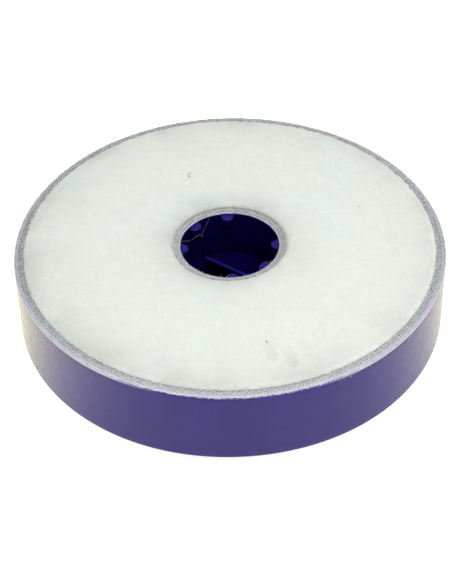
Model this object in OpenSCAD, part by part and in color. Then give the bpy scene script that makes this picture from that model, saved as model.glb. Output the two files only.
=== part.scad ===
// Ring filter cartridge: a moulded ring and hub with layers of net, fleece and foam between them.
// Millimetres, +Z up. The origin is the centre of the base plane, which the cartridge rests on.

/* [Outer shell] */
// Outer radius of the side wall
shell_r = 75; // [65:0.1:90]
// Height of the face net's top above the base plane
body_h = 27; // [26:0.5:40]
// Thickness of the side wall
wall_t = 1.5; // [1.2:0.1:2]
// Width of the top land, from the outside of the wall inwards
rim_land_w = 4.1; // [3.4:0.1:5]
// Width of the low edge that stands up round the net
rim_edge_w = 0.6; // [0.4:0.1:1]
// How far the top of that edge is below the face net's top
rim_edge_drop = 0.1; // [0.1:0.05:0.4]
// Width of the base lip, from the outside of the wall inwards
lip_w = 3.5; // [3:0.1:4.5]
// Thickness of the top land and of the base lip
land_t = 1.4; // [1.2:0.1:1.8]
// Bevel along the outer edge of the base
edge_bevel = 0.3; // [0.2:0.1:0.6]

/* [Hub] */
// Radius of the hole through the hub
hub_r = 17.4; // [16:0.1:20]
// Thickness of the hub's tube
hub_t = 1.6; // [1.4:0.1:2]
// Width of the hub's top land, from the hole outwards
hub_land_w = 3.4; // [3:0.1:4.5]
// Radius of each rounded lug
lug_r = 2.3; // [2:0.1:3]
// How far a lug reaches in from the hole's wall
lug_reach = 3; // [2.5:0.1:3.6]
// Height of each lug
lug_h = 3; // [2:0.5:4]
// How far the lugs' tops are set below the hub's top land
lug_drop = 0.2; // [0.2:0.1:0.8]
// Turn of the lugs from the X axis, in degrees
lug_turn = 2; // [0:0.1:10]
// Radius of the slimmer rib that runs down below each lug
rib_r = 1.6; // [1.2:0.1:1.9]
// How far a rib reaches in from the hole's wall
rib_reach = 0.9; // [0.5:0.1:1.2]

/* [Hub key] */
// Height of the two ledges above the base plane
ledge_z = 9.2; // [8:0.1:11]
// Thickness of the ledges
ledge_t = 1.6; // [1.2:0.1:2]
// How far the insert's rim is set below the top of the ledges, at the ends of the slot
rim_drop = 0.6; // [0.3:0.1:0.9]
// Width of the slot between the ledges
slot_w = 10.8; // [9:0.1:13]
// Direction of the slot from the X axis, in degrees
slot_turn = 144; // [134:1:154]
// Radius of the rounded bead along each ledge's edge
ledge_bead_r = 0.7; // [0.4:0.1:1]
// Height of the top of the two liners above the ledges
liner_top = 18.4; // [16:0.1:20]
// Height above which the liners thin out towards their tops
liner_taper = 14; // [12:0.5:15]
// Thickness of the liners
liner_t = 0.8; // [0.5:0.1:1]
// Radius of the round socket below the ledges
socket_r = 15; // [14:0.1:15.5]
// Height of the socket's wall above the base plane
socket_h = 7; // [6:0.1:7]
// Depth of the relief cut into the insert above the socket's wall
relief_d = 0.6; // [0.3:0.1:0.9]

/* [Face] */
// Thickness of each net
net_t = 0.4; // [0.3:0.1:0.6]
// Gap between the face net and the edge round it
net_gap = 0.1; // [0.1:0.1:0.3]
// Width of the net left bare at the rim
rim_band_w = 2.6; // [2:0.1:5]
// Width of the net left bare at the hole
hub_band_w = 2.2; // [2:0.1:4]
// Thickness of the felt pad at its outer edge
felt_rim_t = 1.1; // [0.4:0.1:1.4]
// Thickness of the felt pad at its inner edge
felt_hub_t = 1.5; // [0.8:0.1:2]
// Extra thickness of the felt pad between its edges
felt_crown = 1.1; // [0.5:0.1:2]

/* [Filter media] */
// Thickness of the fleece next to the grille
lower_fleece_t = 3; // [2:0.5:4]
// Thickness of the foam ring
foam_t = 10; // [8:0.5:11]
// Gap between the edge of each layer and the moulding
media_gap = 0.2; // [0.1:0.1:0.5]
// Width and height of the glue fillets
glue_w = 1.3; // [1:0.1:1.5]

/* [Base grille] */
// Number of spokes
spoke_count = 24; // [12:2:30]
// Number of rings between the hub and the shell
ring_count = 3; // [1:1:4]
// Width of the spokes and of the rings
bar_w = 1.8; // [1.2:0.1:2.4]
// Height of the grille's top above the base plane
grille_top = 2.4; // [2.2:0.1:3]
// How far the bars are set back from the base plane
bar_recess = 0.6; // [0.3:0.1:0.9]

/* [Seals] */
// Width of the flat seals
seal_w = 1.2; // [1:0.1:1.4]
// Depth of the flat seals
seal_t = 0.7; // [0.5:0.1:0.8]

/* [Hidden] */
$fn = 180;

film_t = 0.2;
net_bottom = body_h - net_t;
land_top = net_bottom - film_t;
land_bottom = land_top - land_t;

shell_in = shell_r - wall_t;
rim_land_r = shell_r - rim_land_w;
lip_r = shell_r - lip_w;
net_r = shell_r - rim_edge_w - net_gap;
hub_out = hub_r + hub_t;
hub_land_r = hub_r + hub_land_w;

rim_seal_in = shell_r - lip_w / 2 - seal_w / 2;
hub_seal_in = hub_r + hub_land_w / 2 - seal_w / 2;

// The layers are stacked upwards from the grille, and the two upper fleeces share the height that is left.
base_net_top = grille_top + net_t;
lower_fleece_top = base_net_top + lower_fleece_t;
lower_scrim_top = lower_fleece_top + net_t;
foam_top = lower_scrim_top + foam_t;
upper_scrim_top = foam_top + net_t;
middle_fleece_top = (upper_scrim_top + land_bottom - glue_w) / 2;

felt_out = net_r - rim_band_w;
felt_in = hub_r + hub_band_w;
felt_steps = 32;

lug_top = land_top - lug_drop;
// A rib runs from above the liners to the middle of the lug's height.
rib_h = lug_top - lug_h / 2 - liner_top;
// Six of the eight places on a 45 degree grid have a lug.
lug_places = [0, 2, 3, 4, 6, 7];
line_rib_w = 0.5;
line_rib_h = 0.3;
line_rib_turn = 91.6;
// Length that reaches past the hub from its axis, for cutting it along a chord
past_hub = 2 * hub_r;
// How far a cut starts outside the face it opens
past_face = 1;

module tube(r_out, r_in, z_low, z_high)
    rotate_extrude()
        polygon([[r_in, z_low], [r_out, z_low], [r_out, z_high], [r_in, z_high]]);

// A ring with a triangular section that fills the corner at radius r and height z.
// The fillet runs to r + across, and to z + up.
module fillet_ring(r, z, across, up)
    rotate_extrude() polygon([[r, z], [r + across, z], [r, z + up]]);

// The half of the hub's space beyond the edge of one ledge, between two heights
module beyond_slot(z_low, z_high)
    rotate([0, 0, slot_turn])
        translate([-past_hub, slot_w / 2, z_low]) cube([2 * past_hub, past_hub, z_high - z_low]);

module outer_shell()
    color([0.30, 0.26, 0.50])
    difference() {
        rotate_extrude()
            polygon([
                [lip_r, 0], [shell_r - edge_bevel, 0], [shell_r, edge_bevel],
                [shell_r, body_h - rim_edge_drop], [shell_r - rim_edge_w, body_h - rim_edge_drop],
                [shell_r - rim_edge_w, land_top], [rim_land_r, land_top], [rim_land_r, land_bottom],
                [shell_in, land_bottom], [shell_in, land_t], [lip_r, land_t]
            ]);
        tube(rim_seal_in + seal_w, rim_seal_in, -past_face, seal_t);
    }

module lug(angle)
    intersection() {
        rotate([0, 0, angle]) {
            translate([hub_r + lug_r - lug_reach, 0, lug_top - lug_h]) cylinder(r = lug_r, h = lug_h);
            translate([hub_r + rib_r - rib_reach, 0, liner_top]) cylinder(r = rib_r, h = rib_h);
        }
        cylinder(r = hub_r + hub_t / 2, h = body_h);
    }

module hub_sleeve()
    color([0.26, 0.20, 0.50])
    union() {
        difference() {
            rotate_extrude()
                polygon([
                    [hub_r, 0], [hub_land_r, 0], [hub_land_r, land_t], [hub_out, land_t],
                    [hub_out, land_bottom], [hub_land_r, land_bottom], [hub_land_r, land_top], [hub_r, land_top]
                ]);
            tube(hub_seal_in + seal_w, hub_seal_in, -past_face, seal_t);
        }
        for (place = lug_places) lug(45 * place + lug_turn);
    }

module ledge()
    union() {
        intersection() {
            cylinder(r = hub_r - liner_t / 2, h = body_h);
            union() {
                beyond_slot(ledge_z - ledge_t, ledge_z);
                rotate([0, 0, slot_turn])
                    translate([-past_hub, slot_w / 2 + ledge_bead_r, ledge_z])
                        rotate([0, 90, 0]) cylinder(r = ledge_bead_r, h = 2 * past_hub, $fn = 32);
            }
        }
        intersection() {
            rotate_extrude()
                polygon([
                    [hub_r - liner_t, ledge_z - ledge_t], [hub_r, ledge_z - ledge_t],
                    [hub_r, liner_top], [hub_r - liner_t, liner_taper]
                ]);
            beyond_slot(ledge_z - ledge_t, liner_top);
        }
        intersection() {
            rotate([0, 0, line_rib_turn])
                union() {
                    translate([0, -line_rib_w / 2, ledge_z - ledge_t])
                        cube([hub_r - liner_t / 2, line_rib_w, ledge_t + line_rib_h]);
                    translate([hub_r - liner_t - line_rib_h, -line_rib_w / 2, ledge_z])
                        cube([liner_t, line_rib_w, liner_taper - ledge_z]);
                }
            beyond_slot(ledge_z - ledge_t, liner_top);
        }
    }

module hub_key_insert()
    color([0.29, 0.22, 0.55])
    union() {
        rotate_extrude()
            polygon([
                [socket_r, 0], [hub_r, 0], [hub_r, ledge_z - rim_drop],
                [socket_r + relief_d, ledge_z - rim_drop], [socket_r + relief_d, socket_h], [socket_r, socket_h]
            ]);
        ledge();
        rotate([0, 0, 180]) ledge();
    }

module base_grille()
    color([0.30, 0.26, 0.50])
    union() {
        rotate_extrude()
            polygon([
                [lip_r - bar_w, 0], [lip_r, 0], [lip_r, land_t], [shell_in, land_t],
                [shell_in, grille_top], [lip_r - bar_w, grille_top]
            ]);
        rotate_extrude()
            polygon([
                [hub_land_r, 0], [hub_land_r + bar_w, 0], [hub_land_r + bar_w, grille_top],
                [hub_out, grille_top], [hub_out, land_t], [hub_land_r, land_t]
            ]);
        pitch = (lip_r - hub_land_r - bar_w) / (ring_count + 1);
        for (i = [1:ring_count])
            tube(hub_land_r + i * pitch + bar_w, hub_land_r + i * pitch, bar_recess, grille_top);
        for (i = [0:spoke_count - 1])
            rotate([0, 0, 360 / spoke_count * i])
                translate([hub_land_r + bar_w / 2, -bar_w / 2, bar_recess])
                    cube([lip_r - hub_land_r - bar_w, bar_w, grille_top - bar_recess]);
    }

module base_seal_ring()
    color([0.18, 0.18, 0.20])
    tube(rim_seal_in + seal_w, rim_seal_in, 0, seal_t);

module hub_seal_ring()
    color([0.18, 0.18, 0.20])
    tube(hub_seal_in + seal_w, hub_seal_in, 0, seal_t);

// A flat layer that stays clear of the glue fillets at the shell and at the hub
module narrow_layer(z_low, z_high)
    tube(shell_in - glue_w - media_gap, hub_out + glue_w + media_gap, z_low, z_high);

// A flat layer that fills the ring from the hub to the shell
module wide_layer(z_low, z_high)
    tube(shell_in - media_gap, hub_out + media_gap, z_low, z_high);

module base_net()
    color([0.72, 0.72, 0.78])
    narrow_layer(grille_top, base_net_top);

module lower_fleece()
    color([0.92, 0.93, 0.92])
    narrow_layer(base_net_top, lower_fleece_top);

module lower_scrim()
    color([0.80, 0.80, 0.84])
    wide_layer(lower_fleece_top, lower_scrim_top);

module foam_core()
    color([0.35, 0.45, 0.72])
    wide_layer(lower_scrim_top, foam_top);

module upper_scrim()
    color([0.80, 0.80, 0.84])
    wide_layer(foam_top, upper_scrim_top);

module middle_fleece()
    color([0.88, 0.90, 0.89])
    wide_layer(upper_scrim_top, middle_fleece_top);

// The top layer is wide below the glue fillets and narrower between the two lands.
module upper_fleece()
    color([0.92, 0.93, 0.92])
    rotate_extrude()
        polygon([
            [hub_out + media_gap, middle_fleece_top], [shell_in - media_gap, middle_fleece_top],
            [shell_in - media_gap, land_bottom - glue_w - media_gap],
            [rim_land_r - media_gap, land_bottom - glue_w - media_gap], [rim_land_r - media_gap, net_bottom],
            [hub_land_r + media_gap, net_bottom], [hub_land_r + media_gap, land_bottom - glue_w - media_gap],
            [hub_out + media_gap, land_bottom - glue_w - media_gap]
        ]);

module rim_weld_film()
    color([0.45, 0.42, 0.60])
    tube(net_r, rim_land_r, land_top, net_bottom);

module hub_weld_film()
    color([0.45, 0.42, 0.60])
    tube(hub_land_r, hub_r, land_top, net_bottom);

module face_net()
    color([0.70, 0.72, 0.76])
    tube(net_r, hub_r, net_bottom, body_h);

// Height of the felt's surface above the net, for t from 0 at the outer edge to 1 at the inner edge
function felt_height(t) = felt_rim_t * (1 - t) + felt_hub_t * t + felt_crown * sqrt(sin(180 * t));

module felt_pad()
    color([0.92, 0.94, 0.92])
    rotate_extrude()
        polygon(concat(
            [[felt_in, body_h], [felt_out, body_h]],
            [for (i = [0:felt_steps])
                let (t = i / felt_steps)
                [felt_out + (felt_in - felt_out) * t, body_h + felt_height(t)]]
        ));

module rim_glue_bead()
    color([0.86, 0.84, 0.76])
    fillet_ring(shell_in, land_bottom, -glue_w, -glue_w);

module hub_glue_bead()
    color([0.86, 0.84, 0.76])
    fillet_ring(hub_out, land_bottom, glue_w, -glue_w);

module base_rim_glue_bead()
    color([0.86, 0.84, 0.76])
    fillet_ring(shell_in, grille_top, -glue_w, glue_w);

module base_hub_glue_bead()
    color([0.86, 0.84, 0.76])
    fillet_ring(hub_out, grille_top, glue_w, glue_w);

outer_shell();
hub_sleeve();
hub_key_insert();
base_grille();
base_seal_ring();
hub_seal_ring();
base_net();
lower_fleece();
lower_scrim();
foam_core();
upper_scrim();
middle_fleece();
upper_fleece();
rim_weld_film();
hub_weld_film();
face_net();
felt_pad();
rim_glue_bead();
hub_glue_bead();
base_rim_glue_bead();
base_hub_glue_bead();
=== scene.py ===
import math
from types import SimpleNamespace

import bpy
import numpy as np
from mathutils import Matrix


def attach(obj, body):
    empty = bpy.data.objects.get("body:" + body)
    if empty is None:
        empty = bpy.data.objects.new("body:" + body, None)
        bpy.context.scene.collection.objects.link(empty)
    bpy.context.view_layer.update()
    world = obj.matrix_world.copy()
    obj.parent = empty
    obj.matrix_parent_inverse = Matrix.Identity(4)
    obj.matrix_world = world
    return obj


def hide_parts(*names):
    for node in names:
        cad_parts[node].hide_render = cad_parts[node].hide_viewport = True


# The looks of a washable ring filter cartridge: a glossy moulded ring and hub under a net and a crowned
# felt face. Sizes are in millimetres, in the frame's axes, and become metres where a piece is made.
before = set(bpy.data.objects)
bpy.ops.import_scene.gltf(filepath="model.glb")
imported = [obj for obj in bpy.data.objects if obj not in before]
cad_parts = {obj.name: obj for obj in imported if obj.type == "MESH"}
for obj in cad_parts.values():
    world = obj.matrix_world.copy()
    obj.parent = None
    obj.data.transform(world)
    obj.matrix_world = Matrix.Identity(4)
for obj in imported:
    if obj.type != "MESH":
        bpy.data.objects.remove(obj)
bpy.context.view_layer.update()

MM = 0.001


# ------------------------ measures of the frame

def points_of(node):
    """The points of a CAD node, in millimetres."""
    return np.array([v.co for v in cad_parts[node].data.vertices]) / MM


def ring_of(node):
    """Inner and outer radius, bottom and top of a ring-shaped CAD node."""
    x, y, z = points_of(node).T
    radius = np.hypot(x, y)
    return SimpleNamespace(inner=radius.min(), outer=radius.max(), low=z.min(), high=z.max())


def top_line(node):
    """Radii and heights along the upper surface of a ring-shaped CAD node, from the axis outwards."""
    points = points_of(node)
    points = points[points[:, 2] > points[:, 2].min() + 0.01]
    radius = np.round(np.hypot(points[:, 0], points[:, 1]), 2)
    radii = np.unique(radius)
    return radii, np.array([points[radius == r, 2].max() for r in radii])


shell = ring_of("outer_shell")
sleeve = ring_of("hub_sleeve")
key = ring_of("hub_key_insert")
grille = ring_of("base_grille")
net = ring_of("face_net")
felt = ring_of("felt_pad")
seal = ring_of("base_seal_ring")
hub_seal = ring_of("hub_seal_ring")
film = ring_of("rim_weld_film")
hub_film = ring_of("hub_weld_film")

# Moulded parts: land and lip thickness, top of the two lands, inside of the rim's raised edge, inside of the
# side wall, inside of the base lip, the hole, outside of the hub's tube and of its lands, and the lugs' tops
LAND_T = 1.4
LAND_TOP = film.low
EDGE_IN = net.outer + 0.1
WALL_IN = grille.outer
LIP_R = seal.inner + seal.outer - shell.outer
HUB_R = hub_film.inner
HUB_OUT = grille.inner
HUB_LAND_R = sleeve.outer
LUG_TOP = sleeve.high - 0.2
# Underside and width of the grille's bars, top of the hub's two ledges, and how far the slot between them
# and the lugs are turned from the X axis
GRILLE_LOW = 0.6
BAR_W = 1.8
LEDGE_TOP = 9.2
SLOT_TURN = math.radians(144)
LUG_TURN = math.radians(2)
# The nets' heading, the face net's pitch and thread radius, and how far the fleece pushes it up
NET_HEADING = math.radians(58)
NET_PITCH = 0.8
THREAD_R = 0.155
NET_RISE = 0.35
# Fingertip dents near the front: start, end, half width and depth
DENTS = [
    ((9.7, -49.7), (12.9, -58.0), 2.2, 0.16), ((16.4, -52.3), (19.3, -60.9), 2.3, 0.20),
    ((21.1, -49.6), (24.2, -54.3), 1.8, 0.10),
]


# ------------------------ mesh helpers

def polar(radius, angle, height):
    """Points from radii, angles and heights, which may be arrays of any shapes that fit together."""
    radius, angle, height = np.broadcast_arrays(radius, angle, height)
    return np.stack([radius * np.cos(angle), radius * np.sin(angle), height], axis=-1)


def turn(count):
    """Evenly spaced angles once round."""
    return np.arange(count) * (2 * np.pi / count)


def rounded(corners, steps=4):
    """A closed outline from corners (radius, height, size of the rounding), counter-clockwise."""
    corners = np.array(corners, float)
    at, size = corners[:, :2], corners[:, 2:]
    back = np.roll(at, 1, axis=0) - at
    ahead = np.roll(at, -1, axis=0) - at
    start = at + back / np.linalg.norm(back, axis=1, keepdims=True) * size
    end = at + ahead / np.linalg.norm(ahead, axis=1, keepdims=True) * size
    s = np.linspace(0, 1, steps + 1)[:, None, None]
    arcs = (1 - s) ** 2 * start + 2 * s * (1 - s) * at + s ** 2 * end
    return arcs.transpose(1, 0, 2).reshape(-1, 2)


def spaced(outline, step):
    """The closed outline again, with no two neighbouring points further apart than step."""
    parts = []
    for a, b in zip(outline, np.roll(outline, -1, axis=0)):
        count = max(1, math.ceil(np.linalg.norm(b - a) / step))
        parts.append(a + (b - a) * (np.arange(count) / count)[:, None])
    return np.concatenate(parts)


def grid_faces(columns, rows, closed_columns=True):
    """Faces between the points of a grid that is closed along its rows, numbered column by column."""
    i, j = np.meshgrid(np.arange(columns if closed_columns else columns - 1), np.arange(rows), indexing="ij")
    i2, j2 = (i + 1) % columns, (j + 1) % rows
    return np.stack([i * rows + j, i2 * rows + j, i2 * rows + j2, i * rows + j2], axis=-1).reshape(-1, 4)


def ring_body(points):
    """A body closed both ways, from its outline's points at each angle: (angles, outline, 3)."""
    return points.reshape(-1, 3), [grid_faces(*points.shape[:2])]


def lofted(sections):
    """A closed body through sections (count, points, 3), with both ends capped."""
    count, rows = sections.shape[:2]
    caps = np.array([np.arange(rows), (count - 1) * rows + np.arange(rows)[::-1]])
    return sections.reshape(-1, 3), [grid_faces(count, rows, closed_columns=False), caps]


def joined(bodies):
    """One list of points and one of faces from several (points, faces)."""
    start, points, faces = 0, [], []
    for body_points, body_faces in bodies:
        points.append(body_points)
        faces += [f + start for f in body_faces]
        start += len(body_points)
    return np.concatenate(points), faces


def tubes(lines, radius, sides=3):
    """Thin rods along lines (count, points, 3), with capped ends."""
    count, along = lines.shape[:2]
    tangent = np.gradient(lines, axis=1)
    side = np.cross(tangent, (0.05, 0.03, 1.0))
    side /= np.linalg.norm(side, axis=2, keepdims=True)
    up = np.cross(side, tangent)
    up /= np.linalg.norm(up, axis=2, keepdims=True)
    a = turn(sides)[:, None]
    ring = np.cos(a) * side[:, :, None, :] + np.sin(a) * up[:, :, None, :]
    points = (lines[:, :, None, :] + radius * ring).reshape(-1, 3)
    i, j, m = np.meshgrid(np.arange(count), np.arange(along - 1), np.arange(sides), indexing="ij")
    m2 = (m + 1) % sides
    low, high = (i * along + j) * sides, (i * along + j + 1) * sides
    walls = np.stack([low + m, high + m, high + m2, low + m2], axis=-1).reshape(-1, 4)
    first = (np.arange(count) * along * sides)[:, None]
    caps = np.concatenate([first + np.arange(sides), first + (along - 1) * sides + np.arange(sides)[::-1]])
    return points, [walls, caps]


def wandering(radius, angle, facing, step):
    """X and Y along strands that start at a radius and an angle and take steps in the directions facing."""
    x = (radius * np.cos(angle))[:, None] + np.cumsum(np.cos(facing) * step, axis=1)
    y = (radius * np.sin(angle))[:, None] + np.cumsum(np.sin(facing) * step, axis=1)
    return x, y


def smooth_line(corners, points=14):
    """A smooth line through a few corners, by Catmull-Rom splines."""
    corners = np.array(corners, float)
    ends = np.concatenate([2 * corners[:1] - corners[1:2], corners, 2 * corners[-1:] - corners[-2:-1]])
    t = np.linspace(0, len(corners) - 1, points)
    i = np.minimum(t.astype(int), len(corners) - 2)
    u = (t - i)[:, None]
    a, b, c, d = (ends[i + k] for k in range(4))
    bend, twist = 2 * a - 5 * b + 4 * c - d, 3 * b - a - 3 * c + d
    return 0.5 * (2 * b + (c - a) * u + bend * u ** 2 + twist * u ** 3)


def ripple(angle, seed, lowest, highest, waves=24):
    """An uneven wave round the ring, of about unit size."""
    rng = np.random.default_rng(seed)
    often = rng.integers(lowest, highest, waves)
    phase = rng.uniform(0, 2 * np.pi, waves)
    return np.sin(np.multiply.outer(angle, often) + phase).sum(axis=-1) / math.sqrt(waves / 2)


def lumps(points, size, seed, waves=30):
    """A smooth uneven field over points (..., 3), of about unit size, with lumps of the given size."""
    rng = np.random.default_rng(seed)
    heading = rng.normal(size=(waves, 3))
    heading /= np.linalg.norm(heading, axis=1, keepdims=True)
    often = np.pi / size * rng.uniform(0.6, 1.4, (waves, 1))
    phase = rng.uniform(0, 2 * np.pi, waves)
    return np.sin(points @ (heading * often).T + phase).sum(axis=-1) / math.sqrt(waves / 2)


def in_scene(name, data):
    """A new object in the scene."""
    made = bpy.data.objects.new(name, data)
    bpy.context.scene.collection.objects.link(made)
    return made


def add_piece(name, body, material, node, crease=180):
    """Makes a mesh piece from (points, faces), which rides on the part and stands for a CAD node.
    Edges sharper than crease degrees are shaded sharp."""
    points, faces = body
    corners = np.concatenate([f.ravel() for f in faces])
    sizes = np.concatenate([np.full(len(f), f.shape[1]) for f in faces])
    used, corners = np.unique(corners, return_inverse=True)
    mesh = bpy.data.meshes.new(name)
    mesh.vertices.add(len(used))
    mesh.vertices.foreach_set("co", (points[used] * MM).ravel())
    mesh.loops.add(len(corners))
    mesh.loops.foreach_set("vertex_index", corners.ravel())
    mesh.polygons.add(len(sizes))
    mesh.polygons.foreach_set("loop_start", np.cumsum(sizes) - sizes)
    mesh.update(calc_edges=True)
    mesh.shade_smooth()
    mesh.set_sharp_from_angle(angle=math.radians(crease))
    mesh.materials.append(material)
    piece = in_scene(name, mesh)
    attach(piece, "root")
    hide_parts(node)
    return piece


def bevel(piece, width):
    """Rounds the sharp edges of a piece."""
    rounding = piece.modifiers.new("bevel", "BEVEL")
    rounding.width = width * MM
    rounding.segments = 2
    rounding.limit_method = "ANGLE"
    rounding.angle_limit = math.radians(40)
    rounding.harden_normals = True


# ------------------------ materials

class Look:
    """A procedural material. Textures read the object's own coordinates, so their sizes are real sizes."""

    def __init__(self, name, **sockets):
        self.material = bpy.data.materials.new(name)
        self.material.use_nodes = True
        self.tree = self.material.node_tree
        self.shader = self.tree.nodes["Principled BSDF"]
        for socket, value in sockets.items():
            self.shader.inputs[socket.replace("_", " ")].default_value = value
        self.place = self.node("TexCoord").outputs["Object"]

    def node(self, kind, inputs=None, **settings):
        made = self.tree.nodes.new("ShaderNode" + kind)
        for setting, value in settings.items():
            setattr(made, setting, value)
        for socket, value in (inputs or {}).items():
            if isinstance(value, bpy.types.NodeSocket):
                self.tree.links.new(value, made.inputs[socket])
            else:
                made.inputs[socket].default_value = value
        return made

    def math(self, operation, a, b=0.0, c=0.0):
        return self.node("Math", {0: a, 1: b, 2: c}, operation=operation).outputs[0]

    def times(self, a, *others):
        for b in others:
            a = self.math("MULTIPLY", a, b)
        return a

    def length(self, a, b):
        return self.math("SQRT", self.math("ADD", self.times(a, a), self.times(b, b)))

    def polar_place(self, reference_r):
        """Coordinates (way round the ring at a reference radius, distance from the axis, height)."""
        x, y, z = map(self.side, "XYZ")
        way = self.times(self.math("ARCTAN2", y, x), reference_r * MM)
        return self.node("CombineXYZ", {0: way, 1: self.from_axis(), 2: z}).outputs[0]

    def from_axis(self):
        return self.length(self.side("X"), self.side("Y"))

    def side(self, axis):
        """How far to the right (X), to the back (Y) or up (Z)."""
        return self.node("SeparateXYZ", {0: self.place}).outputs[axis]

    def along_line(self, start, end):
        """How far along a line over the XY plane, from 0 to 1, and the distance from it in metres."""
        start, end = np.array(start) * MM, np.array(end) * MM
        step = end - start
        x = self.math("SUBTRACT", self.side("X"), start[0])
        y = self.math("SUBTRACT", self.side("Y"), start[1])
        dot = self.math("ADD", self.times(x, step[0]), self.times(y, step[1]))
        share = self.range(dot, 0.0, step @ step)
        dx = self.math("SUBTRACT", x, self.times(share, step[0]))
        dy = self.math("SUBTRACT", y, self.times(share, step[1]))
        return share, self.length(dx, dy)

    def noise(self, size, detail=3.0, roughness=0.55, stretch=None, place=None):
        """Noise with features of about that size in millimetres. stretch scales the coordinates first."""
        place = place or self.place
        if stretch:
            place = self.node("VectorMath", {0: place, 1: stretch}, operation="MULTIPLY").outputs[0]
        inputs = {"Vector": place, "Scale": 1 / (size * MM), "Detail": detail, "Roughness": roughness}
        return self.node("TexNoise", inputs).outputs["Fac"]

    def swirled(self, size):
        """The coordinates, shifted by up to 1.2 mm by noise of that size."""
        noise = self.node("TexNoise", {"Vector": self.place, "Scale": 1 / (size * MM), "Detail": 2.0})
        shift = self.node("VectorMath", {0: noise.outputs["Color"], 1: (1.2 * MM,) * 3}, operation="MULTIPLY")
        return self.node("VectorMath", {0: self.place, 1: shift.outputs[0]}, operation="ADD").outputs[0]

    def cells(self, size):
        """Distance to the nearest cell point, for pores of about that size in millimetres."""
        return self.node("TexVoronoi", {"Vector": self.place, "Scale": 1 / (size * MM)}).outputs["Distance"]

    def range(self, value, low, high, to_low=0.0, to_high=1.0):
        names = ("Value", "From Min", "From Max", "To Min", "To Max")
        return self.node("MapRange", dict(zip(names, (value, low, high, to_low, to_high)))).outputs[0]

    def ramp(self, value, *stops):
        """A colour from a value, through stops (position, (red, green, blue))."""
        made = self.node("ValToRGB", {0: value})
        elements = made.color_ramp.elements
        while len(elements) < len(stops):
            elements.new(0.5)
        for element, (position, rgb) in zip(elements, stops):
            element.position = position
            element.color = (*rgb, 1)
        return made.outputs[0]

    def mix(self, amount, a, b, blend="MIX"):
        a, b = (c if isinstance(c, bpy.types.NodeSocket) else (*c, 1) for c in (a, b))
        return self.node("Mix", {0: amount, 6: a, 7: b}, data_type="RGBA", blend_type=blend).outputs[2]

    def bump(self, height, distance, under=None):
        """Adds relief of the given depth in millimetres, over what is under it."""
        inputs = {"Height": height, "Distance": distance * MM, "Strength": 1.0}
        if under:
            inputs["Normal"] = under
        return self.node("Bump", inputs).outputs[0]

    def set(self, **sockets):
        """Links sockets of the shader and gives the finished material."""
        for socket, value in sockets.items():
            self.tree.links.new(value, self.shader.inputs[socket.replace("_", " ")])
        return self.material


def moulded(name, dark, light, gloss, scratch=0.0, ior=1.5, painted_lighting=None):
    """Moulded plastic: cloudy colour, fine grain, a faint flow pattern round the ring and rubbed streaks.
    The last argument is (colour, limits): a lighter colour painted on as a highlight or reflection where
    light falls brightest. Each limit is a measure ("radius", "height", "back" or "across" the slot)
    with two values, between which that colour comes in."""
    look = Look(name, IOR=ior)
    cloud = look.noise(9, detail=4)
    streak = look.noise(0.8, detail=3, stretch=(0.06, 1, 1), place=look.polar_place(shell.outer))
    grain = look.noise(0.7, detail=4, roughness=0.7)
    colour = look.ramp(look.mix(0.55, look.mix(0.3, cloud, streak), grain), (0.36, dark), (0.64, light))
    # Painted highlight: the lighter colour comes in between all the limits.
    if painted_lighting:
        x, y = look.side("X"), look.side("Y")
        across = look.math("MULTIPLY_ADD", x, math.sin(SLOT_TURN), look.times(y, -math.cos(SLOT_TURN)))
        measures = {"radius": look.from_axis(), "height": look.side("Z"), "back": y, "across": across}
        limits = [look.range(measures[m], start * MM, end * MM) for m, start, end in painted_lighting[1]]
        colour = look.mix(look.times(*limits), colour, painted_lighting[0])
    rough = look.range(look.noise(1.5, detail=5), 0.35, 0.7, gloss, gloss + 0.10)
    relief = look.bump(look.noise(5, detail=2), 0.006)
    relief = look.bump(streak, 0.002 + scratch, under=relief)
    return look.set(Base_Color=colour, Roughness=rough, Normal=relief)


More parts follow.
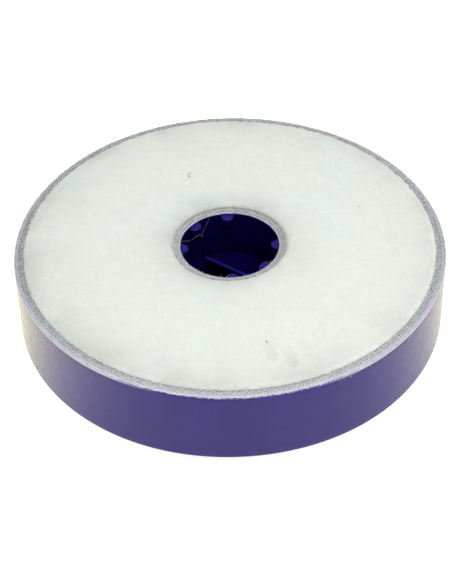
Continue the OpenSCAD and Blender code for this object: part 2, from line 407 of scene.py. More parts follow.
def fibrous(name, light, shade, fibre, lump, depth, borders=(), dents=()):
    """Felt or fleece: matted fibres in every direction over soft lumps. Each border (radius, sign, share,
    width) darkens it with painted shade where it slopes down to that border, more on the left, and each
    dent darkens it with painted shade, deepest towards the dent's end."""
    look = Look(name, Roughness=0.95, Specular_IOR_Level=0.15, Sheen_Weight=0.2, Sheen_Roughness=0.5)
    place = look.swirled(lump * 1.5)
    along = look.noise(fibre, detail=4, roughness=0.7, stretch=(0.25, 1, 1), place=place)
    across = look.noise(fibre, detail=4, roughness=0.7, stretch=(1, 0.3, 1), place=place)
    matted = look.mix(0.35, along, across)
    soft = look.noise(lump, detail=3)
    colour = look.ramp(look.mix(0.25, matted, soft), (0.36, shade), (0.62, light))
    tint = look.ramp(look.noise(28, detail=2), (0.35, (0.98, 1.0, 0.98)), (0.65, (1.0, 0.985, 0.955)))
    colour = look.mix(1.0, colour, tint, blend="MULTIPLY")
    # Painted shade towards each border, patchy and deeper on the left, away from the softbox.
    for edge_r, sign, share, width in borders:
        away = look.times(look.math("SUBTRACT", look.from_axis(), edge_r * MM), sign / (width * MM))
        patchy = look.range(look.noise(16, detail=2), 0.35, 0.65, 0.6, 1.4)
        uneven = look.times(patchy, look.range(look.side("X"), -0.06, 0.06, 1.3, 0.8))
        painted_lighting = look.times(look.math("EXPONENT", away), share, uneven)
        colour = look.mix(painted_lighting, colour, (0.02, 0.03, 0.06))
    # Painted shade in each pressed dent, growing towards its end.
    for start, end, half_width, dent_depth in dents:
        along_it, away = look.along_line(start, end)
        inside = look.range(away, 0.7 * half_width * MM, half_width * MM, 1.0, 0.0)
        colour = look.mix(look.times(inside, along_it, 0.55 * dent_depth), colour, (0.02, 0.03, 0.05))
    relief = look.bump(soft, depth)
    relief = look.bump(matted, depth * 0.6, under=relief)
    return look.set(Base_Color=colour, Normal=relief)


def front_light_share(look):
    """From 0 at the axis and behind it to 1 at the front, where painted light makes the net lighter."""
    return look.range(look.side("Y"), -0.010, -0.068)


def net_look(name, thread, hole):
    """Net seen as a sheet: a backing whose dark colour between the threads is painted shade, lighter where it
    was cut and sealed, where lint fills it near the hole, and towards the front as painted light."""
    look = Look(name, Roughness=0.6, Specular_IOR_Level=0.3)
    radius = look.from_axis()
    fray = look.noise(1.2, detail=3)
    edge = look.range(look.math("ADD", radius, look.times(fray, 0.5 * MM)),
                      (net.outer - 0.9) * MM, (net.outer - 0.1) * MM)
    inner = look.range(look.math("SUBTRACT", radius, look.times(fray, 0.4 * MM)),
                       (net.inner - 0.1) * MM, (net.inner + 0.3) * MM, 1.0, 0.0)
    sealed = look.math("MAXIMUM", edge, inner)
    # Painted shade in the openings between the threads, with a random tone.
    hole_shade = look.ramp(look.noise(2.0, detail=4), (0.35, hole), (0.7, tuple(1.5 * c for c in hole)))
    # Lighter towards the front as painted light, and near the hole where lint fills it.
    lint = look.math("MAXIMUM", look.times(front_light_share(look), 0.35),
                     look.range(radius, felt.inner * MM, 2 * felt.inner * MM, 0.35, 0.0))
    hole_shade = look.mix(lint, hole_shade, thread)
    colour = look.mix(sealed, hole_shade, thread)
    relief = look.bump(look.noise(0.5, detail=3), 0.03)
    return look.set(Base_Color=colour, Normal=relief)


def thread_look(name, light, shade, front_lit_colour=None):
    """Fine thread: satin, with lighter and darker lengths. The last argument is its lighter colour towards
    the front, as painted light.
    """
    look = Look(name, Roughness=0.45, Specular_IOR_Level=0.4, Sheen_Weight=0.2)
    colour = look.ramp(look.noise(1.6, detail=4), (0.35, shade), (0.65, light))
    # Painted light: lighter towards the front.
    if front_lit_colour:
        colour = look.mix(front_light_share(look), colour, front_lit_colour)
    return look.set(Base_Color=colour, Normal=look.bump(look.noise(0.3), 0.01))


def foam_look(name, light, shade):
    """Open-cell foam: fine pores in two sizes."""
    look = Look(name, Roughness=0.9, Specular_IOR_Level=0.2)
    pores = look.mix(0.5, look.cells(1.1), look.cells(0.6))
    colour = look.ramp(pores, (0.2, shade), (0.6, light))
    return look.set(Base_Color=colour, Normal=look.bump(pores, 0.3))


def rubber_look(name, light, shade, rough=0.7, depth=0.02):
    """Rubber or set glue: soft mottling and a slightly uneven skin."""
    look = Look(name, Specular_IOR_Level=0.4)
    colour = look.ramp(look.noise(2.5, detail=4), (0.3, shade), (0.7, light))
    rough = look.range(look.noise(0.8), 0.3, 0.7, rough - 0.1, rough + 0.1)
    return look.set(Base_Color=colour, Roughness=rough, Normal=look.bump(look.noise(0.7, detail=4), depth))


# The shell's top edge is light grey all round but at the front: a painted reflection on its rounded corner.
shell_plastic = moulded("shell_plastic", (0.013, 0.004, 0.130), (0.024, 0.008, 0.180), 0.30,
                        painted_lighting=((0.58, 0.58, 0.61), (("height", shell.high - 0.5, shell.high - 0.15),
                                                   ("back", -71, -62))))
# The hub's dark colours are painted shade in the deep hole; its lighter colour on the lugs' tops is painted
# light.
hub_plastic = moulded("hub_plastic", (0.0010, 0.0003, 0.042), (0.0022, 0.0007, 0.062), 0.30, ior=1.33,
                      painted_lighting=((0.021, 0.007, 0.170), (("radius", HUB_R - 0.05, HUB_R - 0.3),
                                                    ("height", LUG_TOP - 0.45, LUG_TOP - 0.15))))
# The key's dark colours are painted shade deep in the hole; the lighter colour on the far ledge's bead is a
# painted highlight.
key_plastic = moulded("key_plastic", (0.0008, 0.0002, 0.028), (0.0016, 0.0004, 0.044), 0.26, ior=1.24,
                      painted_lighting=((0.020, 0.006, 0.200), (("height", LEDGE_TOP + 0.1, LEDGE_TOP + 0.6),
                                                    ("radius", HUB_R - 1, HUB_R - 2), ("across", 3.0, 5.0))))
grille_plastic = moulded("grille_plastic", (0.030, 0.012, 0.150), (0.044, 0.020, 0.205), 0.38, 0.01)
film_look = moulded("weld_film", (0.04, 0.03, 0.12), (0.07, 0.06, 0.16), 0.35)
seal_look = rubber_look("seal_rubber", (0.035, 0.035, 0.04), (0.018, 0.018, 0.022))
glue_look = rubber_look("glue", (0.72, 0.66, 0.52), (0.58, 0.50, 0.36), 0.45, 0.06)
felt_look = fibrous("felt", (0.864, 0.902, 0.862), (0.772, 0.812, 0.770), 0.34, 2.2, 0.03,
                    borders=[(felt.outer, 1, 0.20, 8.0), (felt.inner, -1, 0.25, 5.5)], dents=DENTS)
fleece_look = fibrous("fleece", (0.80, 0.82, 0.80), (0.62, 0.65, 0.63), 0.35, 3.0, 0.15)
fibre_look = thread_look("felt_fibre", (0.90, 0.91, 0.89), (0.80, 0.82, 0.80))
hair_look = thread_look("dark_hair", (0.10, 0.09, 0.09), (0.05, 0.045, 0.05))
foam_material = foam_look("foam", (0.16, 0.24, 0.46), (0.05, 0.09, 0.22))
# The net's second colour is the painted shade between its threads.
net_backing = net_look("net_backing", (0.62, 0.62, 0.72), (0.06, 0.06, 0.075))
net_thread = thread_look("net_thread", (0.62, 0.64, 0.72), (0.45, 0.47, 0.56), front_lit_colour=(0.84, 0.86, 0.91))
hub_thread = thread_look("hub_thread", (0.66, 0.69, 0.67), (0.50, 0.53, 0.515))
hub_edge = thread_look("hub_edge", (0.80, 0.76, 0.94), (0.64, 0.60, 0.80))
net_edge = thread_look("net_edge", (0.60, 0.61, 0.66), (0.50, 0.50, 0.58), front_lit_colour=(0.70, 0.69, 0.80))
lint_look = thread_look("lint", (0.55, 0.53, 0.56), (0.40, 0.38, 0.42))
scrim_look = thread_look("scrim", (0.66, 0.66, 0.72), (0.50, 0.50, 0.58))


# ------------------------ moulded parts

def outline_ring(outline, columns, seed=0, uneven=0.0):
    """A ring from a closed outline, with radii that wander slightly as a moulding's do."""
    angle = turn(columns)[:, None]
    wander = uneven * ripple(turn(columns), seed, 2, 9)[:, None]
    return ring_body(polar(outline[:, 0] + wander, angle, outline[:, 1]))


def groove(r):
    """The corners of the groove that holds a seal."""
    return (r.inner, 0, 0.1), (r.inner, r.high, 0.05), (r.outer, r.high, 0.05), (r.outer, 0, 0.1)


def make_outer_shell():
    outline = rounded([
        (LIP_R, 0, 0.25), *groove(seal), (shell.outer, 0, 0.35), (shell.outer, shell.high, 0.55),
        (EDGE_IN, shell.high, 0.05), (EDGE_IN, LAND_TOP, 0.05),
        (shell.inner, LAND_TOP, 0.25), (shell.inner, LAND_TOP - LAND_T, 0.2),
        (WALL_IN, LAND_TOP - LAND_T, 0.4), (WALL_IN, LAND_T, 0.4), (LIP_R, LAND_T, 0.2),
    ])
    body = outline_ring(spaced(outline, 2.5), 720, seed=1, uneven=0.02)
    add_piece("shell_ring", body, shell_plastic, "outer_shell")


def lug_reach(angle, centre_r, radius, limit_r):
    """How far a round lug with its axis at centre_r stands in from the wall at limit_r."""
    inside = radius ** 2 - (centre_r * np.sin(angle)) ** 2
    near = centre_r * np.cos(angle) - np.sqrt(np.maximum(inside, 0))
    return np.where((inside > 0) & (np.cos(angle) > 0), np.maximum(limit_r - near, 0), 0)


def make_hub_sleeve():
    """The hub's tube between its two lands, with six lugs at its mouth and a rib under each."""
    lug_places = [0, 2, 3, 4, 6, 7]  # eighths of a turn
    lug_r, lug_in, lug_h = 2.3, 3.0, 3.0
    rib_r, rib_in = 1.6, 0.9
    edge = 0.35
    lug_low = LUG_TOP - lug_h
    rib_low = key.high
    step = edge * (1 - np.cos(np.linspace(0, np.pi / 2, 6)))
    rows = np.concatenate([
        LUG_TOP + np.array([0.05, 0.001]), LUG_TOP - step, lug_low + step[::-1], [lug_low - 0.001],
        rib_low + 0.3 * np.array([3, 1, 0.4, 0.1, 0]), [rib_low - 0.001],
    ])
    outline = rounded([
        (HUB_R, 0, 0.3), *groove(hub_seal), (HUB_LAND_R, 0, 0.2),
        (HUB_LAND_R, LAND_T, 0.2), (HUB_OUT, LAND_T, 0.3), (HUB_OUT, sleeve.high - LAND_T, 0.3),
        (HUB_LAND_R, sleeve.high - LAND_T, 0.2), (HUB_LAND_R, sleeve.high, 0.2), (HUB_R, sleeve.high, 0.15),
    ])
    wall = np.stack([np.full(len(rows), HUB_R), rows], axis=1)
    outline = spaced(np.concatenate([outline, wall]), 1.2)
    angle = turn(720)[:, None]
    radius, height = np.tile(outline[:, 0], (len(angle), 1)), outline[:, 1]
    over_top = np.clip((height - (LUG_TOP - edge)) / edge, 0, 1)
    under_low = np.clip(((lug_low + edge) - height) / edge, 0, 1)
    back = edge * (2 - np.sqrt(1 - over_top ** 2) - np.sqrt(1 - under_low ** 2))
    in_lug = (height <= LUG_TOP) & (height >= lug_low)
    in_rib = (height < LUG_TOP - lug_h / 2) & (height >= rib_low)
    reach = np.zeros_like(radius)
    for place in lug_places:
        away = angle - (math.radians(45 * place) + LUG_TURN)
        lug = lug_reach(away, HUB_R + lug_r - lug_in, lug_r, HUB_R)
        rib = lug_reach(away, HUB_R + rib_r - rib_in, rib_r, HUB_R)
        reach = np.maximum(reach, np.maximum(lug - back, 0) * in_lug)
        reach = np.maximum(reach, rib * in_rib)
    on_wall = np.abs(outline[:, 0] - HUB_R) < 0.001
    radius = radius - reach * on_wall
    body = ring_body(polar(radius, angle, height))
    add_piece("hub_tube", body, hub_plastic, "hub_sleeve", crease=40)


def make_hub_key():
    """Two ledges with a bead along their edge, a liner above each, and the socket's tube below."""
    ledge_low = 7.6
    edge_y, bead_r = 6.1, 0.7
    liner_in, liner_taper = HUB_R - 0.8, 14.0
    socket_r, socket_h, relief_r, rim_z = 15.0, 7.0, 15.6, 8.6
    line_w, line_h, line_turn = 0.5, 0.3, math.radians(91.6)
    lap = 0.2  # how far one body runs into the next

    tube = outline_ring(spaced(rounded([
        (socket_r, 0, 0.3), (HUB_R, 0, 0.1), (HUB_R, rim_z, 0.1), (relief_r, rim_z, 0.2),
        (relief_r, socket_h, 0.1), (socket_r, socket_h, 0.2),
    ]), 1.5), 360)

    # The bead's upper half, from the ledge's top over to its front
    arc = np.linspace(0, np.pi, 9)
    bead = np.stack([edge_y + bead_r * np.cos(arc), LEDGE_TOP + bead_r * np.sin(arc)], axis=1)
    front = edge_y - bead_r
    reach = math.sqrt((HUB_R + lap) ** 2 - (front + 2 * lap) ** 2)
    sections = []
    for x in np.linspace(reach, -reach, 60):
        far = math.sqrt(max((HUB_R + lap) ** 2 - x ** 2, (edge_y + bead_r + lap / 2) ** 2))
        loop = [(front + lap, ledge_low), (far, ledge_low), (far, LEDGE_TOP), *bead, (front, ledge_low + lap)]
        sections.append([(x, y, z) for y, z in loop])
    ledge = lofted(np.array(sections))

    # A liner runs between the two ends of its ledge.
    half = math.asin(front / liner_in)
    foot = LEDGE_TOP - 2 * lap
    outline = spaced(rounded([
        (liner_in, foot, 0.05), (HUB_R + 0.1, foot, 0.05), (HUB_R + 0.1, key.high, 0.05),
        (HUB_R - 0.05, key.high, 0.02), (liner_in, liner_taper, 1.0),
    ], 3), 2.0)
    angles = np.linspace(half, np.pi - half, 90)[:, None]
    liner = lofted(polar(outline[:, 0], angles, outline[:, 1]))

    # The mould's parting line: a low ridge across the ledge and up the liner
    away = line_turn - (SLOT_TURN + np.pi)
    t = np.linspace(1, -1, 7)
    ridge = np.stack([t * line_w / 2, line_h * np.sqrt(1 - t ** 2 * 0.98)], axis=1)
    loop = np.concatenate([[(-line_w / 2, -lap), (line_w / 2, -lap)], ridge])
    along = [(edge_y + bead_r * 0.6) / abs(math.sin(away)), 12.0, liner_in + 0.1]
    c, s = math.cos(away), math.sin(away)
    flat = np.array([[(r * c + t * s, r * s - t * c, LEDGE_TOP + z) for t, z in loop[::-1]] for r in along])
    rise = np.linspace(LEDGE_TOP, liner_taper, 4)
    loop = [(t, liner_in - h) for t, h in loop]
    upright = np.array([[(r * c + t * s, r * s - t * c, z) for t, r in loop] for z in rise])

    halves = []
    for points, faces in (ledge, liner, lofted(flat), lofted(upright)):
        for a in (SLOT_TURN, SLOT_TURN + np.pi):
            spin = np.array([[math.cos(a), math.sin(a), 0], [-math.sin(a), math.cos(a), 0], [0, 0, 1]])
            halves.append((points @ spin, faces))
    add_piece("hub_key", joined([tube, *halves]), key_plastic, "hub_key_insert", crease=50)


def make_grille():
    """Spokes and rings as one grid with gaps, and the two solid rings that hold it."""
    spokes, rings, gap_columns = 24, 3, 8
    half = BAR_W / 2
    pitch = (LIP_R - HUB_LAND_R - BAR_W) / (rings + 1)
    edges = [r for i in range(1, rings + 1) for r in (HUB_LAND_R + i * pitch, HUB_LAND_R + i * pitch + BAR_W)]
    radii = np.array([HUB_LAND_R + half, *edges, LIP_R - half])
    step = 2 * np.pi / spokes
    side = np.arcsin(half / radii)[:, None]
    gaps = np.linspace(0, 1, gap_columns + 1)[:-1]
    one = np.concatenate([-side, np.zeros_like(side), side + (step - 2 * side) * gaps[None, :]], axis=1)
    angles = np.concatenate([one + k * step for k in range(spokes)], axis=1)
    rows, columns = angles.shape
    low = polar(radii[:, None], angles, GRILLE_LOW).reshape(-1, 3)
    high = polar(radii[:, None], angles, grille.high).reshape(-1, 3)
    filled = np.zeros((rows - 1, columns), bool)
    filled[1::2] = True
    filled[:, 0::gap_columns + 2] = True
    filled[:, 1::gap_columns + 2] = True

    def corner(i, j, up):
        return up * rows * columns + i * columns + j % columns

    i, j = np.nonzero(filled)
    loop = [(i, j), (i + 1, j), (i + 1, j + 1), (i, j + 1)]
    faces = [
        np.stack([corner(*at, 1) for at in loop], axis=1),
        np.stack([corner(*at, 0) for at in (loop[0], *loop[:0:-1])], axis=1),
    ]
    padded = np.pad(filled, ((1, 1), (0, 0)))
    walls = [
        (~padded[:-2], (0, 1), (0, 0)), (~padded[2:], (1, 0), (1, 1)),
        (~np.roll(filled, 1, axis=1), (0, 0), (1, 0)), (~np.roll(filled, -1, axis=1), (1, 1), (0, 1)),
    ]
    for open_side, a, b in walls:
        i, j = np.nonzero(filled & open_side)
        p, q = (i + a[0], j + a[1]), (i + b[0], j + b[1])
        faces.append(np.stack([corner(*p, 0), corner(*q, 0), corner(*q, 1), corner(*p, 1)], axis=1))
    body = np.concatenate([low, high]), faces
    bars = add_piece("grille_bars", body, grille_plastic, "base_grille")
    bevel(bars, 0.3)

    rim = outline_ring(rounded([
        (LIP_R - BAR_W, 0, 0.3), (LIP_R, 0, 0.1), (LIP_R, LAND_T, 0.05), (WALL_IN, LAND_T, 0.05),
        (WALL_IN, grille.high, 0.1), (LIP_R - BAR_W, grille.high, 0.3),
    ]), 480)
    hub = outline_ring(rounded([
        (HUB_LAND_R, 0, 0.1), (HUB_LAND_R + BAR_W, 0, 0.3), (HUB_LAND_R + BAR_W, grille.high, 0.3),
        (HUB_OUT, grille.high, 0.1), (HUB_OUT, LAND_T, 0.05), (HUB_LAND_R, LAND_T, 0.05),
    ]), 240)
    add_piece("grille_rings", joined([rim, hub]), grille_plastic, "base_grille")


def box_outline(r, edge, steps=4):
    """The outline of a ring's section, with rounded corners."""
    corners = [(r.inner, r.low), (r.outer, r.low), (r.outer, r.high), (r.inner, r.high)]
    return rounded([(*corner, edge) for corner in corners], steps)


def plain_ring(name, node, material, columns=360):
    """A ring of the CAD node's own size, with rounded edges."""
    r = ring_of(node)
    outline = box_outline(r, min(0.15, (r.high - r.low) / 2.5))
    add_piece(name, outline_ring(outline, columns), material, node)


def make_seals_and_films():
    plain_ring("rim_seal", "base_seal_ring", seal_look, 480)
    plain_ring("hub_seal", "hub_seal_ring", seal_look)
    plain_ring("rim_film", "rim_weld_film", film_look, 480)
    plain_ring("hub_film", "hub_weld_film", film_look)


def make_glue():
    """Fillets in four corners, with a hollow face and an uneven reach."""
    nodes = ("rim_glue_bead", "hub_glue_bead", "base_rim_glue_bead", "base_hub_glue_bead")
    for seed, node in enumerate(nodes):
        r = ring_of(node)
        rim, base = "rim" in node, "base" in node
        corner = (r.outer if rim else r.inner, r.low if base else r.high)
        across = (r.outer - r.inner) * (-1 if rim else 1)
        rise = (r.high - r.low) * (1 if base else -1)
        angle = turn(360)
        size = np.clip(0.86 + 0.10 * ripple(angle, 40 + seed, 20, 90), 0.6, 1.0)[:, None]
        s = np.linspace(0, 1, 7)
        hollow = 1 - 0.35 * np.sin(np.pi * s)
        curve = np.stack([across * (1 - s) * hollow, rise * s * hollow], axis=1)
        outline = np.concatenate([[[0, 0]], curve])
        if across * rise < 0:
            outline = outline[::-1]
        points = polar(corner[0] + outline[:, 0] * size, angle[:, None], corner[1] + outline[:, 1] * size)
        add_piece(node.replace("_bead", "_fillet"), ring_body(points), glue_look, node)


# ------------------------ layers inside

def fluffy_ring(name, node, material, size, depth, seed):
    """A layer inside the cartridge: the CAD ring with a soft, uneven surface that stays within it."""
    r = ring_of(node)
    outline = spaced(box_outline(r, min(0.6, (r.high - r.low) / 3), 2), 1.6)
    angle = turn(300)[:, None]
    rings = polar(outline[:, 0], angle, outline[:, 1])
    normal = np.roll(outline, -1, axis=0) - np.roll(outline, 1, axis=0)
    normal /= np.linalg.norm(normal, axis=1, keepdims=True)
    inset = depth * np.clip(0.5 + 0.4 * lumps(rings, size, seed), 0, 1)
    radius = outline[:, 0] - normal[:, 1] * inset
    height = outline[:, 1] + normal[:, 0] * inset
    add_piece(name, ring_body(polar(radius, angle, height)), material, node)


def make_layers():
    fluffy_ring("fleece_base", "lower_fleece", fleece_look, 2.5, 0.25, 11)
    fluffy_ring("foam_ring", "foam_core", foam_material, 2.0, 0.2, 12)
    fluffy_ring("fleece_middle", "middle_fleece", fleece_look, 3.0, 0.25, 13)
    # The top layer is wide below the glue and narrower between the two lands.
    r = ring_of("upper_fleece")
    glue = ring_of("rim_glue_bead")
    step = glue.low - 0.2
    outline = rounded([
        (r.inner, r.low, 0.5), (r.outer, r.low, 0.5), (r.outer, step, 0.5), (shell.inner - 0.2, step, 0.1),
        (shell.inner - 0.2, r.high, 0.3), (HUB_LAND_R + 0.2, r.high, 0.3), (HUB_LAND_R + 0.2, step, 0.1),
        (r.inner, step, 0.5),
    ], 3)
    add_piece("fleece_top", outline_ring(spaced(outline, 2.0), 300), fleece_look, "upper_fleece")


# ------------------------ nets

def strand_spans(offset, inner, outer):
    """Where a straight thread at this distance from the axis lies between two circles."""
    if abs(offset) >= outer:
        return []
    far = math.sqrt(outer ** 2 - offset ** 2)
    if abs(offset) >= inner:
        return [(-far, far)]
    near = math.sqrt(inner ** 2 - offset ** 2)
    return [(-far, -near), (near, far)]


def woven(inner, outer, pitch, thread_r, middle, heading, seed, ragged=0.0, sides=3):
    """A plain weave clipped to a ring: two families of threads that pass over and under each other."""
    rng = np.random.default_rng(seed)
    wave = thread_r * 0.9
    bodies = []
    for family in (0, 1):
        angle = heading + family * np.pi / 2
        u = np.array([math.cos(angle), math.sin(angle)])
        n = np.array([-u[1], u[0]])
        reach = math.ceil(outer / pitch)
        for index in range(-reach, reach + 1):
            offset = index * pitch
            for low, high in strand_spans(offset, inner, outer):
                if high - low < pitch:
                    continue
                low += rng.uniform(-ragged, ragged)
                high += rng.uniform(-ragged, ragged)
                count = max(3, round((high - low) / (pitch / 2)) + 1)
                s = np.linspace(low, high, count)
                sway = offset + 0.06 * pitch * np.sin(s / (3.1 * pitch) + rng.uniform(0, 6))
                flip = 1 if family == 0 else -1
                z = middle + flip * wave * np.cos(np.pi * (s / pitch + index))
                line = np.stack([u[0] * s + n[0] * sway, u[1] * s + n[1] * sway, z], axis=1)
                bodies.append(tubes(line[None], thread_r, sides))
    return joined(bodies)


def net_rise(radius):
    """How far the fleece pushes the face net up off its flat place: nothing at its two edges."""
    rim = np.clip((radius - felt.outer) / (net.outer - felt.outer), 0, 1)
    hub = np.clip((felt.inner - radius) / (felt.inner - net.inner), 0, 1)
    return NET_RISE * (1 - rim ** 2) * (1 - hub ** 2)


def raised(body):
    """A part of the face net, pushed up by the fleece below it."""
    points, faces = body
    return points + net_rise(np.hypot(points[:, 0], points[:, 1]))[:, None] * (0, 0, 1), faces


def net_backing_body():
    """The sheet under the threads, whose two cut edges wander."""
    thickness, edge_r = 0.14, 1.2
    radii = np.concatenate([
        np.linspace(net.inner, felt.inner, 6), np.linspace(felt.inner, felt.outer, 14)[1:-1],
        np.linspace(felt.outer, net.outer, 8),
    ])
    under = np.stack([radii, np.full(len(radii), net.low)], axis=1)
    outline = np.concatenate([under, under[::-1] + (0, thickness)])
    angle = turn(720)[:, None]
    radius = np.tile(outline[:, 0], (len(angle), 1))
    near_rim = np.exp(-(net.outer - radius) / edge_r)
    near_hub = np.exp(-(radius - net.inner) / edge_r)
    rim_wave = 0.12 * ripple(angle[:, 0], 21, 20, 160)[:, None]
    hub_wave = 0.10 * ripple(angle[:, 0], 22, 6, 50)[:, None]
    radius = radius + near_rim * rim_wave + near_hub * (0.12 + hub_wave)
    return ring_body(polar(radius, angle, outline[:, 1]))


def net_edge_body(seed, radius, thick):
    """A cut edge of the net, melted into an uneven bead."""
    angle = turn(1440)
    sway = 0.10 * ripple(angle, seed, 20, 200) + 0.06 * ripple(angle, seed + 10, 200, 600)
    size = thick * (1 + 0.22 * ripple(angle, seed + 20, 60, 500))
    size = np.clip(size, 0.5 * thick, 1.5 * thick)[:, None]
    loop = turn(6)
    height = net.high - 0.8 * thick + size * np.sin(loop)
    return ring_body(polar(radius + sway[:, None] + size * np.cos(loop), angle[:, None], height))


def frayed_ends_body():
    """Frayed ends that stand out over the moulded edge and the hole, and a few that hang at the front."""
    rng = np.random.default_rng(25)
    ends = []
    edges = (net.outer - 0.35, 0.0, 3600, 0.75), (net.inner + 0.35, np.pi, 500, 0.45)
    for radius, out, many, reach in edges:
        angle = rng.uniform(0, 2 * np.pi, many)
        s = np.linspace(0, 1, 4)
        facing = (angle + out + rng.normal(0, 0.6, many))[:, None] + rng.normal(0, 0.8, many)[:, None] * s
        step = (reach * rng.uniform(0.35, 1.15, many))[:, None] / 3
        x, y = wandering(radius, angle, facing, step)
        z = net.high - 0.08 + rng.uniform(0, 0.12, many)[:, None] - 0.12 * s ** 2
        ends.append(tubes(np.stack([x, y, z], axis=2), 0.05))
    for angle in rng.uniform(math.radians(-64), math.radians(-36), 16):
        drop, sway = rng.uniform(0.8, 3.2), rng.normal(0, 0.012, 4)
        corners = [(net.outer - 0.4, 0.0), (shell.outer + 0.02, 0.02), (shell.outer + 0.1, -0.4),
                   (shell.outer + 0.06, -drop)]
        hanging = [polar(r, angle + a, net.high + h) for (r, h), a in zip(corners, sway)]
        ends.append(tubes(smooth_line(hanging, 12)[None], 0.017))
    return joined(ends)


def make_face_net():
    middle = net.high - 1.9 * THREAD_R
    weave = (NET_PITCH, THREAD_R, middle, NET_HEADING)
    rim = woven(felt.outer - 0.7, net.outer - 0.1, *weave, seed=31, ragged=0.22, sides=4)
    hub = woven(net.inner + 0.05, felt.inner + 0.5, *weave, seed=32, ragged=0.12, sides=4)
    backing = add_piece("net_sheet", raised(net_backing_body()), net_backing, "face_net")
    others = [add_piece(name, body, material, "face_net") for name, body, material in (
        ("net_rim_edge", net_edge_body(23, net.outer - 0.12, 0.20), net_edge),
        ("net_hub_edge", net_edge_body(24, net.inner + 0.12, 0.15), hub_edge),
        ("net_threads_rim", raised(rim), net_thread),
        ("net_threads_hub", raised(hub), hub_thread),
        ("net_frayed_ends", frayed_ends_body(), net_edge),
    )]


def make_inner_nets():
    nets = (
        ("base_net", net_thread, "net", 1.6, 0.11), ("lower_scrim", scrim_look, "scrim", 2.4, 0.10),
        ("upper_scrim", scrim_look, "scrim", 2.4, 0.10),
    )
    for seed, (node, look, slot, pitch, thread_r) in enumerate(nets, 33):
        r = ring_of(node)
        body = woven(r.inner, r.outer, pitch, thread_r, (r.low + r.high) / 2, NET_HEADING, seed, ragged=0.1)
        add_piece(node + "_weave", body, look, node)


# ------------------------ felt face

FELT_RADII, FELT_TOPS = top_line("felt_pad")


def felt_top(radius, angle):
    """Height of the felt's surface: the CAD's crown with rounded borders, soft lumps and a few dents."""
    top = np.interp(radius, FELT_RADII, FELT_TOPS)
    rim_in = np.clip((felt.outer - radius) / 1.7, 0, 1)
    hub_in = np.clip((radius - felt.inner) / 1.5, 0, 1)
    border = (np.sin(np.pi / 2 * rim_in) * np.sin(np.pi / 2 * hub_in)) ** 0.75
    where = polar(radius, angle, 0.0)
    uneven = 0.05 * lumps(where, 9, 51) + 0.02 * lumps(where, 2.6, 52) + 0.01 * lumps(where, 1.1, 53)
    for start, end, half_width, depth in DENTS:
        step = np.subtract(end, start)
        from_start = where[..., :2] - start
        along = np.clip(from_start @ step / (step @ step), 0, 1)
        away = np.linalg.norm(from_start - along[..., None] * step, axis=-1)
        inside = np.clip((half_width - away) / (0.45 * half_width), 0, 1)
        uneven = uneven - depth * (0.4 + 0.6 * along) * inside ** 2 * (3 - 2 * inside)
    base = net.high + net_rise(radius)
    return base + (top - base + uneven) * border


def make_felt():
    """The crowned face, with points closer together at its two borders, and an underside on the net."""
    columns, rows = 720, 84
    t = (1 - np.cos(np.linspace(0, np.pi, rows))) / 2
    t = 0.35 * t + 0.65 * np.linspace(0, 1, rows)
    angle = turn(columns)[:, None]
    rim_edge = felt.outer + 0.10 * ripple(angle[:, 0], 54, 30, 220)[:, None]
    hub_edge = felt.inner + 0.08 * ripple(angle[:, 0], 55, 10, 60)[:, None]
    radius = rim_edge + (hub_edge - rim_edge) * t
    nominal = felt.outer + (felt.inner - felt.outer) * t
    upper = polar(radius, angle, felt_top(nominal, angle))
    under = polar(radius[:, ::-6], angle, felt.low - 0.01 + net_rise(radius[:, ::-6]))
    rings = np.concatenate([upper, under[:, 1:-1]], axis=1)
    pad = add_piece("felt_face", ring_body(rings), felt_look, "felt_pad")


def fibre_lines(radius, angle, heading, length, bend, lift, points=4, spread=0.0):
    """Curved fibres that lie on the felt and the net beside it, as lines (count, points, 3). spread is how
    far the fluff they make stands out past the felt's border."""
    s = np.linspace(0, 1, points)
    facing = heading[:, None] + bend[:, None] * s
    step = (length / (points - 1))[:, None]
    x, y = wandering(radius, angle, facing, step)
    on_felt = felt_top(np.hypot(x, y) - spread, np.arctan2(y, x))
    z = on_felt + 0.01 + lift[:, None] * np.sin(np.pi * s)
    return np.stack([x, y, z], axis=2)


def make_fibres():
    """Loose fibres all over the felt, and fuzz along its two borders."""
    rng = np.random.default_rng(61)
    count = 1800
    radius = np.sqrt(rng.uniform((felt.inner + 1) ** 2, (felt.outer - 1) ** 2, count))
    angle = rng.uniform(0, 2 * np.pi, count)
    loose = fibre_lines(radius, angle, rng.uniform(0, 2 * np.pi, count), rng.uniform(1.5, 5, count),
                        rng.normal(0, 1.2, count), rng.uniform(0.0, 0.03, count), 5)
    add_piece("felt_fibres", tubes(loose, 0.02), fibre_look, "felt_pad")

    bodies = []
    for r, out, many, spread in ((felt.outer - 0.1, 0.0, 5000, 0.45), (felt.inner + 0.1, np.pi, 1900, -0.45)):
        angle = rng.uniform(0, 2 * np.pi, many)
        heading = angle + out + rng.normal(0, 0.9, many)
        lines = fibre_lines(r + rng.normal(0, 0.4, many), angle, heading, rng.uniform(0.6, 2.0, many),
                            rng.normal(0, 1.4, many), rng.uniform(0.0, 0.12, many), spread=spread)
        bodies.append(tubes(lines, 0.03))
    add_piece("felt_border_fuzz", joined(bodies), fibre_look, "felt_pad")


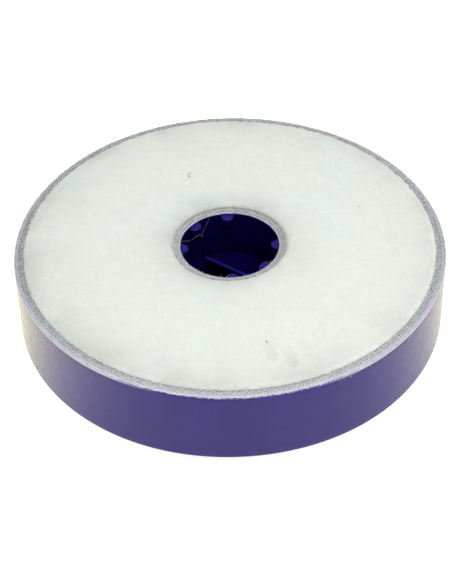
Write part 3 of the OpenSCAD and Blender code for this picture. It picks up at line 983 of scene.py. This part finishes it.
def make_stray_hairs():
    """Three dark hairs on the felt, and pale lint at the hole."""
    def on_felt(*spots):
        spots = np.array(spots, float)
        r, a = np.hypot(*spots.T), np.arctan2(spots[:, 1], spots[:, 0])
        return np.column_stack([spots, felt_top(r, a) + 0.12])

    dark = [
        smooth_line(on_felt((-13.3, 37.9), (-14.2, 36.9), (-14.3, 35.9), (-13.7, 35.1))),
        smooth_line(on_felt((10.9, -51.2), (11.2, -51.5), (11.3, -51.9))),
        smooth_line(on_felt((46.0, 16.4), (46.3, 16.0), (46.2, 15.7))),
    ]
    body = joined([tubes(line[None], size) for line, size in zip(dark, (0.11, 0.14, 0.08))])
    add_piece("dark_hairs", body, hair_look, "felt_pad")

    top = sleeve.high
    pale = [
        smooth_line([(-7.6, 17.0, top + 0.5), (-7.2, 15.2, top - 0.4), (-8.6, 11.6, top - 1.3),
                     (-9.8, 8.6, top - 1.6), (-9.6, 7.0, top - 1.4)], 20),
        smooth_line([(-9.7, 8.9, top - 1.6), (-11.6, 7.3, top - 1.5), (-13.8, 4.6, top - 1.0),
                     (-16.9, 2.6, top + 0.2)], 18),
    ]
    rng = np.random.default_rng(71)
    for _ in range(16):
        spot = np.array([12.6, -9.4, top - 0.35]) + rng.normal(0, 1, 3) * (1.0, 0.8, 0.05)
        bend = rng.normal(0, 0.45, (3, 3)) * (1, 1, 0.25)
        pale.append(smooth_line(spot + np.cumsum(bend, axis=0), 6))
    body = joined([tubes(line[None], 0.03) for line in pale])
    add_piece("pale_lint", body, lint_look, "felt_pad")


# ------------------------ stage

def make_floor():
    """A pale floor that glows round the part, most behind it and at its sides, with a painted shadow under
    the part, where it is dark and does not glow.
    """
    bpy.ops.mesh.primitive_plane_add(size=3.0, location=(0, 0, -0.00005))
    floor = bpy.context.object
    floor.name = "floor"
    look = Look("pale_floor", Roughness=0.8)
    x, y, radius = look.side("X"), look.side("Y"), look.from_axis()
    # Painted shadow: 0 within the part's outline, where the floor is dark and unlit, 1 outside it.
    outside_painted_shadow = look.range(radius, (shell.outer - 1.5) * MM, shell.outer * MM)
    off_axis = look.math("MAXIMUM", radius, 1e-3)
    share = look.math("DIVIDE", x, off_axis)
    behind = look.math("DIVIDE", look.math("MAXIMUM", y, 0.0), off_axis)
    narrow = look.math("POWER", look.times(share, share), look.range(x, -0.06, 0.06, 1.9, 3.2))
    sides = look.times(narrow, look.range(x, -0.12, 0.12, 1.15, 0.85))
    around = look.math("MULTIPLY_ADD", look.times(behind, behind), 1.8, sides)
    far = look.range(radius, 0.25, 0.8, 0.64, 1.1)
    glow = look.math("MULTIPLY_ADD", around, 1.6, far)
    warmth = look.mix(look.math("MINIMUM", around, 1.0), (1, 0.985, 0.93), (1, 0.955, 0.56))
    paint = look.mix(outside_painted_shadow, (0.01, 0.01, 0.01), (0.42, 0.42, 0.42))
    strength = look.times(outside_painted_shadow, glow)
    floor.data.materials.append(look.set(Base_Color=paint, Emission_Color=warmth, Emission_Strength=strength))


def make_light():
    """A white surround that fades with height, and one round softbox above the front."""
    world = bpy.data.worlds.new("studio")
    world.use_nodes = True
    nodes, links = world.node_tree.nodes, world.node_tree.links
    place = nodes.new("ShaderNodeTexCoord")
    axes = nodes.new("ShaderNodeSeparateXYZ")
    fade = nodes.new("ShaderNodeMapRange")
    for name, value in (("From Min", 0.12), ("From Max", 0.40), ("To Min", 1.6), ("To Max", 0.26)):
        fade.inputs[name].default_value = value
    links.new(place.outputs["Generated"], axes.inputs[0])
    links.new(axes.outputs["Z"], fade.inputs["Value"])
    links.new(fade.outputs[0], nodes["Background"].inputs["Strength"])
    nodes["Background"].inputs["Color"].default_value = (1, 1, 1, 1)
    bpy.context.scene.world = world

    lamp = bpy.data.lights.new("softbox", "AREA")
    lamp.shape = "DISK"
    lamp.size = 0.6
    lamp.energy = 4.4
    in_scene("softbox", lamp).matrix_world = looking((0.11, -0.24, 0.72), (0, 0, 0.02), 0)


def looking(place, aim, roll):
    """The pose of a camera or lamp in metres, turned by roll about its own line of sight."""
    place, aim = np.array(place, float), np.array(aim, float)
    back = (place - aim) / np.linalg.norm(place - aim)
    right = np.cross((0, 0, 1), back)
    right /= np.linalg.norm(right)
    up = np.cross(back, right)
    c, s = math.cos(roll), math.sin(roll)
    right, up = c * right + s * up, c * up - s * right
    return Matrix([*zip(right, up, back, place), (0, 0, 0, 1)])


def make_camera():
    """The photo's camera, fitted to the rim, the hole and the bottom edge."""
    data = bpy.data.cameras.new("camera")
    data.lens = 101.65
    data.sensor_width = 36
    data.clip_start, data.clip_end = 0.01, 10
    camera = in_scene("camera", data)
    camera.matrix_world = looking((-0.000607, -0.433121, 0.396058), (-0.000607, 0, 0.005930), -0.02355)
    bpy.context.scene.camera = camera


make_outer_shell()
make_hub_sleeve()
make_hub_key()
make_grille()
make_seals_and_films()
make_glue()
make_layers()
make_face_net()
make_inner_nets()
make_felt()
make_fibres()
make_stray_hairs()
make_floor()
make_light()
make_camera()
bpy.context.scene.view_settings.view_transform = "Standard"
